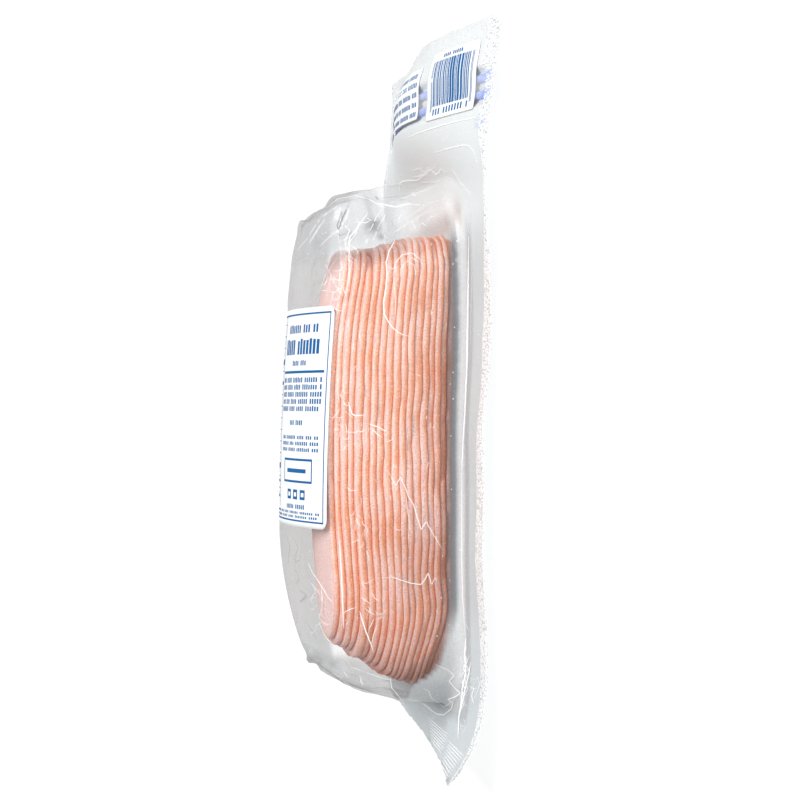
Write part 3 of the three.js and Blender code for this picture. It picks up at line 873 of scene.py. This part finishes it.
def ham_material():
    """Cured ham, cut wet: soft pink meat, an orange-tan smoked rim, fine grain and a moist shine."""
    material, tree, shader = new_material(
        "ham_cured_smoked_sliced", Roughness=0.45, IOR=1.4, Specular_IOR_Level=0.3,
        Subsurface_Weight=0.3, Subsurface_Radius=(1.0, 0.4, 0.3), Subsurface_Scale=1.2 * MM,
    )
    place = add(tree, "TexCoord", out="Object")
    across = add(tree, "Attribute", out="Fac", attribute_name="across_rim")
    inset = add(tree, "Attribute", out="Fac", attribute_name="inset")
    height = add(tree, "Attribute", out="Fac", attribute_name="up_the_stack")
    # the smoked rim is uneven in streaks of 11 mm by 1 mm along a slice, in patches of about 17 mm
    # and in the cut meat's grain of 0.5 mm
    along = add(tree, "Mapping", {"Vector": place, "Scale": (1.0, 0.1, 1.0)})
    streak = add(tree, "TexNoise", {"Vector": along, "Scale": scale_for(1.11), "Detail": 2.0})
    patch = add(tree, "TexNoise", {"Vector": place, "Scale": scale_for(16.7), "Detail": 3.0})
    grain = add(tree, "TexNoise", {"Vector": place, "Scale": scale_for(0.5), "Detail": 1.0})
    down = across
    for pattern, amount in ((patch, 1.2), (streak, 0.5), (grain, 0.5)):
        down = add(tree, "Math", [pattern, amount, down], operation="MULTIPLY_ADD")
    # down one slice's rim: pale pink meat, then a peach crest, then the orange smoked skin
    peach = add(tree, "MapRange", [down, 1.32, 1.66])
    orange = add(tree, "MapRange", [down, 1.54, 1.9])
    on_rim = add(tree, "MapRange", [inset, 0.7, 2.4, 1.0, 0.0])
    # the joint between two slices is wet and a little darker, but not everywhere
    off_middle = add(tree, "Math", [across, 0.5], operation="SUBTRACT")
    to_face = add(tree, "Math", [off_middle], operation="ABSOLUTE")
    joint = add(tree, "MapRange", [to_face, 0.36, 0.48, 0.0, 0.75])
    wet = add(tree, "MapRange", [patch, 0.3, 0.6])
    joint = add(tree, "Math", [joint, wet], operation="MULTIPLY")
    # beads of juice stand on the crests under the film, about 0.3 mm across, painted pale as glints
    bead = dots(tree, place, spacing=0.667, full=0.1, gone=0.4, strength=0.65, empty=0.6)
    on_crest = add(tree, "MapRange", [to_face, 0.28, 0.4, 1.0, 0.0])
    palest, pink = linear("#ffe6e1"), linear("#f3beb6")
    colour = add(tree, "Mix", {0: streak, 6: pink, 7: palest}, out=2, data_type="RGBA")
    layers = ((peach, on_rim, "#fdcab0"), (orange, on_rim, "#f2a07b"), (joint, on_rim, "#f08e68"),
              (bead, on_crest, "#fff3e8"))
    for amount, limit, paint in layers:
        amount = add(tree, "Math", [amount, limit], operation="MULTIPLY")
        colour = add(tree, "Mix", {0: amount, 6: colour, 7: linear(paint)}, out=2, data_type="RGBA")
    # painted shade: the lowest slices and the foot end are darkened and browned
    y = add(tree, "SeparateXYZ", [place], out="Y")
    low = add(tree, "MapRange", [height, 0.05, 0.6, 0.64, 0.0], interpolation_type="SMOOTHSTEP")
    off_header = add(tree, "MapRange", [y, 10 * MM, 50 * MM, 1.0, 0.0])
    low = add(tree, "Math", [low, off_header], operation="MULTIPLY")
    end = add(tree, "MapRange", [y, -55 * MM, -18 * MM, 0.62, 0.0], interpolation_type="SMOOTHSTEP")
    off_back = add(tree, "MapRange", [height, 0.35, 0.95, 1.0, 0.15])
    end = add(tree, "Math", [end, off_back], operation="MULTIPLY")
    painted_shade = add(tree, "Math", [low, end], operation="MAXIMUM")
    colour = add(tree, "Mix", {0: painted_shade, 6: colour, 7: linear("#c4aba4")},
                 out=2, data_type="RGBA", blend_type="MULTIPLY")
    lift = add(tree, "MapRange", [grain, 0.3, 0.7, 0.76, 1.16])
    colour = add(tree, "HueSaturation", {"Value": lift, "Color": colour})
    tree.links.new(colour, shader.inputs["Base Color"])
    rough = add(tree, "Math", [grain, 0.5, streak], operation="MULTIPLY_ADD")
    bump = add(tree, "Bump", {"Height": rough, "Distance": 0.3 * MM, "Strength": 0.5})
    tree.links.new(bump, shader.inputs["Normal"])
    return material


ham_slices = make_ham()
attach(ham_slices, "root")
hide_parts("formed_web")

# ---------------------------------------------------------------------------------------------
# The front web: a flat white printed film, seen here from its unprinted side. It is heat-sealed to
# the formed web all round by a bar with a fine knurl, and bellies out a little under the ham.
# Gap under the formed web, thickness, and the level of the belly's inner face above the table.
WEB_GAP = 0.28
LID_THICKNESS = 0.3
BELLY_LEVEL = 0.4
# Rows of the web inside the pocket's foot, by share of the way out from the middle.
BELLY_ROWS = (0.985, 0.97, 0.955, 0.94, 0.925, 0.91, 0.895, 0.88, 0.86, 0.84, 0.82, 0.8, 0.7, 0.5, 0.3, 0.1)
LID_ROWS = 61
LID_ROUND = {"short": 96, "long": 170, "corner": 14}
# The zip's two tracks by place along the pack, and where its ends are crushed in the side seals with
# how much each place shows.
ZIP_TRACKS = (105.6, 100.1)
CRUSHED_ZIP = ((ZIP_TRACKS[0], 0.95), (ZIP_TRACKS[1], 0.95), (90.5, 0.3))
# How far out the knurled strip begins on the long sides, by place along the pack.
KNURL_ALONG = (-125, -105, -75, -52, -20, 0, 20, 45, 62, 75, 88, 108, 125)
KNURL_FROM = (79, 77.5, 76.2, 73.5, 75.5, 78, 74, 78.5, 81.5, 82.5, 76.6, 72.6, 75)


def header_puff(x, y):
    """The webs stand apart round the zip's two tracks, and lie together elsewhere."""
    off_track = np.minimum(np.abs(y - ZIP_TRACKS[0]), np.abs(y - ZIP_TRACKS[1]))
    puff = 1.9 * smoothstep(4.4, 1.6, off_track) * smoothstep(78, 74.5, np.abs(x))
    return np.minimum(puff, web_level(x, y) - WEB_GAP - LID_THICKNESS - 0.1)


def lid_level(x, y):
    """Upper face of the front web above the table, in mm."""
    return web_level(x, y) - WEB_GAP - header_puff(x, y)


def make_lid():
    """Both faces of the web as one thin closed shell, with the knurled strip marked."""
    rings = []
    for share in np.linspace(0, 1, LID_ROWS):
        ring = flange_ring(share, LID_ROUND)
        sideways, up = edge_wobble(ring, share)
        rings.append(np.column_stack([ring + sideways, lid_level(ring[:, 0], ring[:, 1]) + up]))
    foot = flange_ring(1.0, LID_ROUND)
    edge = lid_level(foot[:, 0], foot[:, 1])
    middle = np.array([0.0, MID_Y])
    # the web stays level as far as the stack, then bellies down under it
    for scale in BELLY_ROWS:
        drop = float(smoothstep(0.93, 0.8, scale))
        plan = middle + (foot - middle) * scale
        rings.append(np.column_stack([plan, mix(edge, BELLY_LEVEL, drop)]))
    top = np.array(rings)
    bottom = top.copy()
    bottom[:, :, 2] -= LID_THICKNESS
    count = top.shape[1]
    both = np.concatenate([top[::-1], bottom])
    faces = [face[::-1] for face in shell_faces(len(both), count)]
    flat = both.reshape(-1, 3)
    lid = put_mesh("front_web", flat, faces)
    inner = np.interp(flat[:, 1], KNURL_ALONG, KNURL_FROM)
    side_strip = smoothstep(-0.8, 0.8, np.abs(flat[:, 0]) - inner)
    end_strip = smoothstep(118.6, 120.2, flat[:, 1])
    set_attribute(lid, "knurled", np.maximum(side_strip, 0.4 * end_strip))
    lid.data.materials.append(white_web_material())
    return lid


def white_web_material():
    """White coextruded film: even and silky, cooler where the seal has pressed it smooth. Inside the
    pocket's foot it is left whiter, a painted light against the stack's shade.
    """
    material, tree, shader = new_material(
        "white_film_heat_sealed", Roughness=0.5, IOR=1.5, Specular_IOR_Level=0.3
    )
    place = add(tree, "TexCoord", out="Object")
    x = add(tree, "SeparateXYZ", [place], out="X")
    y = add(tree, "SeparateXYZ", [place], out="Y")
    knurled = add(tree, "Attribute", out="Fac", attribute_name="knurled")
    # the knurl's grit is 0.6 mm long, and lies 1.5 mm wide across the side seals
    stretched = add(tree, "Mapping", {"Vector": place, "Scale": (0.4, 1.0, 1.0)})
    grit = add(tree, "TexNoise", {"Vector": stretched, "Scale": scale_for(0.625), "Detail": 1.0})
    ragged = add(tree, "Math", [grit, 2.0, -1.0], operation="MULTIPLY_ADD")
    strip = add(tree, "Math", [knurled, ragged], operation="ADD")
    strip = add(tree, "MapRange", [strip, 0.35, 0.65])
    # the bar has pressed the flange all round the pocket, and the header is a little cooler too; the web
    # left whiter inside the pocket's foot is painted light
    aside = add(tree, "Math", [x], operation="ABSOLUTE")
    sealed = add(tree, "MapRange", [aside, 53.5 * MM, 60.5 * MM])
    below = add(tree, "MapRange", [y, -106 * MM, -100 * MM, 1.0, 0.0])
    sealed = add(tree, "Math", [sealed, below], operation="MAXIMUM")
    header = add(tree, "MapRange", [y, 46 * MM, 64 * MM])
    # grey pits show in the knurled strip
    pit = add(tree, "MapRange", [grit, 0.5, 0.62, 0.0, 0.65])
    pit = add(tree, "Math", [pit, knurled], operation="MULTIPLY")
    layers = [(sealed, "#d1d6d9"), (header, "#e4e6e7"), (strip, "#fdfdfd"), (pit, "#a7b0b8")]
    # the zip's ends are crushed in the side seal, and show as blue crumbs
    in_seal = add(tree, "MapRange", [x, 71.5 * MM, 73.5 * MM])
    off_edge = add(tree, "MapRange", [x, 80.5 * MM, 83 * MM, 1.0, 0.0])
    crumbs = add(tree, "MapRange", [grit, 0.42, 0.54])
    for crushed_at, strength in CRUSHED_ZIP:
        off = add(tree, "Math", [y, crushed_at * MM], operation="SUBTRACT")
        off = add(tree, "Math", [off], operation="ABSOLUTE")
        near = add(tree, "MapRange", [off, 0.8 * MM, 2.6 * MM, strength, 0.0])
        for limit in (in_seal, off_edge, crumbs):
            near = add(tree, "Math", [near, limit], operation="MULTIPLY")
        layers.append((near, "#7d9bef"))
    # the web is whiter inside the pocket's foot than on the header and flange: painted light against the
    # stack's shade
    colour = linear("#f8f9f9")
    for amount, paint in layers:
        colour = add(tree, "Mix", {0: amount, 6: colour, 7: linear(paint)}, out=2, data_type="RGBA")
    tree.links.new(colour, shader.inputs["Base Color"])
    # the knurl's teeth, about 1.1 mm apart
    teeth = add(tree, "TexVoronoi", {"Vector": place, "Scale": scale_for(1.11)}, out="Distance")
    height = add(tree, "Math", [teeth, knurled], operation="MULTIPLY")
    bump = add(tree, "Bump", {"Height": height, "Distance": 0.5 * MM, "Strength": 0.5})
    tree.links.new(bump, shader.inputs["Normal"])
    return material


front_web = make_lid()
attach(front_web, "root")
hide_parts("lid_web")

# ---------------------------------------------------------------------------------------------
# The zip: two pale blue polyethylene tracks, extruded and welded between the webs in the header,
# that press together to close the pack again. Their own shape is right, so they keep it.
def zip_material():
    """Extruded polyethylene tinted pale blue: waxy, with a white bloom in spots of about 1 mm."""
    material, tree, shader = new_material("zip_polyethylene_extruded", Roughness=0.5, IOR=1.51)
    place = add(tree, "TexCoord", out="Object")
    bloom = add(tree, "TexNoise", {"Vector": place, "Scale": scale_for(1.11), "Detail": 3.0})
    amount = add(tree, "MapRange", [bloom, 0.35, 0.65])
    blue, pale = linear("#7d9bf0"), linear("#b4c4f8")
    colour = add(tree, "Mix", {0: amount, 6: blue, 7: pale}, out=2, data_type="RGBA")
    tree.links.new(colour, shader.inputs["Base Color"])
    return material


zip_blue = zip_material()
for track in ("zip_track_upper", "zip_track_lower"):
    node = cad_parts[track]
    node.data.materials.clear()
    node.data.materials.append(zip_blue)

# ---------------------------------------------------------------------------------------------
# The labels: thin white film stuck to the clear web, printed in one blue. The print is rows of
# small ticks in place of words, rules, a plain box and upright bars, laid on as thin fields of ink.
# The label's and ink's upper faces stand this far over the film.
LABEL_TOP = 0.12
INK_TOP = 0.15
LABEL_THICKNESS = 0.16
LABEL_ROWS = 26
# Ink is cut into facets of this size, so that it follows the label's bend.
INK_FACET = 2.5


def box(left, right, bottom, top):
    return [(left, right, bottom, top)]


def rule(left, right, y, line):
    return box(left, right, y - line / 2, y + line / 2)


def outline(left, right, bottom, top, line):
    """The four sides of a box."""
    sides = box(left, right, top - line, top) + box(left, right, bottom, bottom + line)
    inner = (bottom + line, top - line)
    return sides + box(left, left + line, *inner) + box(right - line, right, *inner)


def ticks(rng, left, right, bottom, top, pitch, stroke=0.62):
    """A row of upright ticks in groups, in place of a line of words."""
    marks = []
    x = left
    while x < right:
        for _ in range(int(rng.integers(3, 8))):
            if x + pitch * stroke < right:
                tall = (top - bottom) * rng.uniform(0.85, 1)
                marks += box(x, x + pitch * stroke, bottom, bottom + tall)
            x += pitch
        x += pitch * 0.9
    return marks


def bars(rng, left, right, bottom, top, module):
    """Upright bars of uneven width, with no code in them."""
    marks = []
    x = left
    while x < right - 3 * module:
        width = module * rng.choice([1, 1.5, 2, 3])
        marks += box(x, x + width, bottom, top)
        x += width + module * rng.choice([0.8, 1.05, 1.4])
    return marks


def back_label_ink():
    """A frame, a heading, a paragraph, a plain box, three squares and a ruled table."""
    rng = np.random.default_rng(3)
    marks = outline(-48.2, 50.2, -41.5, 29.7, 0.6)
    marks += ticks(rng, 11, 43, 23.0, 26.0, 2.3)
    marks += ticks(rng, 7, 46, 15.6, 21.0, 2.9, 0.7)
    marks += ticks(rng, 19, 34, 11.8, 13.6, 1.9)
    marks += rule(4.5, 48, 9.6, 0.9)
    for row in range(5):
        marks += ticks(rng, 5, 47, 6.0 - row * 2.45, 7.8 - row * 2.45, 1.8)
    marks += ticks(rng, 19, 34, -8.6, -6.8, 1.8)
    for row in range(3):
        marks += ticks(rng, 8, 46, -13.4 - row * 2.1, -12.1 - row * 2.1, 1.7)
    marks += outline(12, 42, -28.3, -20.0, 0.8)
    marks += rule(17, 37, -24.2, 1.4)
    for left in (18, 25, 32):
        marks += outline(left, left + 4.5, -34.0, -30.6, 1.0)
    marks += ticks(rng, 17, 37, -37.2, -35.6, 1.8)
    for row in range(2):
        marks += ticks(rng, -45, 48, -38.9 - row * 1.4, -38.0 - row * 1.4, 1.6)
    marks += box(1.6, 2.3, -37.0, 29.7)
    for row in range(15):
        y = 26.5 - row * 4.1
        marks += rule(-46, 1.6, y, 0.3)
        marks += ticks(rng, -45, -4, y - 2.9, y - 1.2, 1.8)
    for y, line in ((13.2, 1.6), (6.0, 1.2), (-23.0, 1.9), (-28.4, 0.9), (-33.7, 0.9)):
        marks += rule(-46, 1.6, y, line)
    return marks


def barcode_ink():
    """Bars with a short row of ticks above and a longer row of dashes below."""
    rng = np.random.default_rng(8)
    marks = bars(rng, 38.4, 66.8, 100.0, 115.6, 0.5)
    for left in (36.4, 37.2, 67.2, 68.0):
        marks += box(left, left + 0.4, 98.4, 115.6)
    marks += ticks(rng, 39, 66.5, 97.0, 99.4, 2.2, 0.5)
    marks += ticks(rng, 44, 60, 116.4, 117.7, 1.6)
    return marks


def text_ink():
    """Five lines of ticks."""
    rng = np.random.default_rng(15)
    marks = []
    for row in range(5):
        marks += ticks(rng, -69, 22.5, 112.4 - row * 3.4, 114.2 - row * 3.4, 1.9)
    return marks


def mottled_material(name, roughness, gloss, spots, detail, darker, lighter):
    """Something nearly even in colour, with faint spots of a size in mm."""
    material, tree, shader = new_material(name, Roughness=roughness, IOR=1.5, Specular_IOR_Level=gloss)
    place = add(tree, "TexCoord", out="Object")
    mottle = add(tree, "TexNoise", {"Vector": place, "Scale": scale_for(spots), "Detail": detail})
    colour = add(tree, "Mix", {0: mottle, 6: linear(darker), 7: linear(lighter)}, out=2, data_type="RGBA")
    tree.links.new(colour, shader.inputs["Base Color"])
    return material


def label_film_material(name):
    """Cast white label film: smooth, and even in colour."""
    return mottled_material(
        name, roughness=0.5, gloss=0.25, spots=1.43, detail=2.0, darker="#eceded", lighter="#f1f2f2"
    )


def ink_material():
    """Blue flexo ink: matt, and slightly mottled where it is thin."""
    return mottled_material(
        "label_ink_flexo_blue", roughness=0.6, gloss=0.15, spots=0.4, detail=1.0,
        darker="#00508c", lighter="#066aa6",
    )


def ink_fields(marks, level, start):
    """Points and faces of the marks, laid over a surface. start is the number of the first point."""
    points = []
    faces = []
    for x0, x1, y0, y1 in marks:
        columns = max(1, math.ceil((x1 - x0) / INK_FACET))
        rows = max(1, math.ceil((y1 - y0) / INK_FACET))
        first = start + len(points)
        for j in range(rows + 1):
            for i in range(columns + 1):
                x = mix(x0, x1, i / columns)
                y = mix(y0, y1, j / rows)
                points.append([x, y, float(level(x, y)) + INK_TOP])
        for j in range(rows):
            for i in range(columns):
                a = first + j * (columns + 1) + i
                faces.append((a, a + 1, a + columns + 2, a + columns + 1))
    return points, faces


def make_label(name, marks, ink):
    """A label that follows the film, with its ink as a second material."""
    level = LABELS[name]["level"]
    left, right = LABELS[name]["x"]
    bottom, top = LABELS[name]["y"]
    steps = {"short": 60, "long": 40, "corner": 6}
    rim = rounded_ring(right, left, top, bottom, LABELS[name]["radius"], steps)
    middle = np.array([(left + right) / 2, (top + bottom) / 2])
    upper = [(LABEL_TOP, scale) for scale in np.linspace(0.03, 1, LABEL_ROWS)]
    lower = [(LABEL_TOP - LABEL_THICKNESS, scale) for scale in np.linspace(1, 0.03, LABEL_ROWS)]
    rings = []
    for lift, scale in upper + lower:
        plan = middle + (rim - middle) * scale
        rings.append(np.column_stack([plan, level(plan[:, 0], plan[:, 1]) + lift]))
    faces = [face[::-1] for face in shell_faces(len(rings), len(rim))]
    points = np.concatenate(rings).tolist()
    ink_points, ink_faces = ink_fields(marks, level, len(points))
    label = put_mesh(name + "_film", points + ink_points, faces + ink_faces)
    label.data.materials.append(label_film_material(name + "_film_cast"))
    label.data.materials.append(ink)
    slots = [0] * len(faces) + [1] * len(ink_faces)
    label.data.polygons.foreach_set("material_index", slots)
    return label


label_ink = ink_material()
print_on = {"back_label": back_label_ink, "barcode_label": barcode_ink, "text_label": text_ink}
for name, marks in print_on.items():
    label = make_label(name, marks(), label_ink)
    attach(label, "root")
    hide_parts(name)

# ---------------------------------------------------------------------------------------------
# The studio: a pale glowing floor, soft light from above and behind the header, and a camera
# beside the pack, low over its flange and turned on its side so that the header points up.
def make_stage():
    half = 20000.0
    corners = [(-half, -half, 0), (half, -half, 0), (half, half, 0), (-half, half, 0)]
    floor = put_mesh("floor", corners, [(0, 1, 2, 3)], False)
    white = linear("#ffffff")
    material, _, _ = new_material(
        "pale_floor_lit_from_below", Roughness=0.9, Base_Color=linear("#898989"),
        Specular_IOR_Level=0.1, Emission_Color=white, Emission_Strength=0.8,
    )
    floor.data.materials.append(material)
    world = bpy.data.worlds.new("studio")
    bpy.context.scene.world = world
    world.use_nodes = True
    background = world.node_tree.nodes["Background"]
    background.inputs["Color"].default_value = white
    background.inputs["Strength"].default_value = 0.55


def add_light(name, kind, direction, energy, **settings):
    light = bpy.data.lights.new(name, kind)
    light.energy = energy
    for key, value in settings.items():
        setattr(light, key, value)
    obj = bpy.data.objects.new(name, light)
    bpy.context.scene.collection.objects.link(obj)
    obj.location = Vector(direction)
    obj.rotation_euler = (-Vector(direction)).to_track_quat("-Z", "Y").to_euler()


make_stage()
add_light("key", "SUN", (0.45, 0.45, 0.8), 2.3, angle=math.radians(35))
add_light("strip", "AREA", (0.9, 0.2, 0.7), 2.5, shape="RECTANGLE", size=0.08, size_y=0.9)


def add_camera():
    sensor = 36.0
    data = bpy.data.cameras.new("camera")
    data.sensor_width = sensor
    data.lens = sensor * FOCAL_PIXELS / FRAME_PIXELS
    camera = bpy.data.objects.new("camera", data)
    bpy.context.scene.collection.objects.link(camera)
    axes = Matrix((VIEW_RIGHT, VIEW_UP, VIEW_BACK)).transposed()
    camera.matrix_world = Matrix.Translation(EYE * MM) @ axes.to_4x4()
    bpy.context.scene.camera = camera


add_camera()
bpy.context.scene.view_settings.view_transform = "Standard"
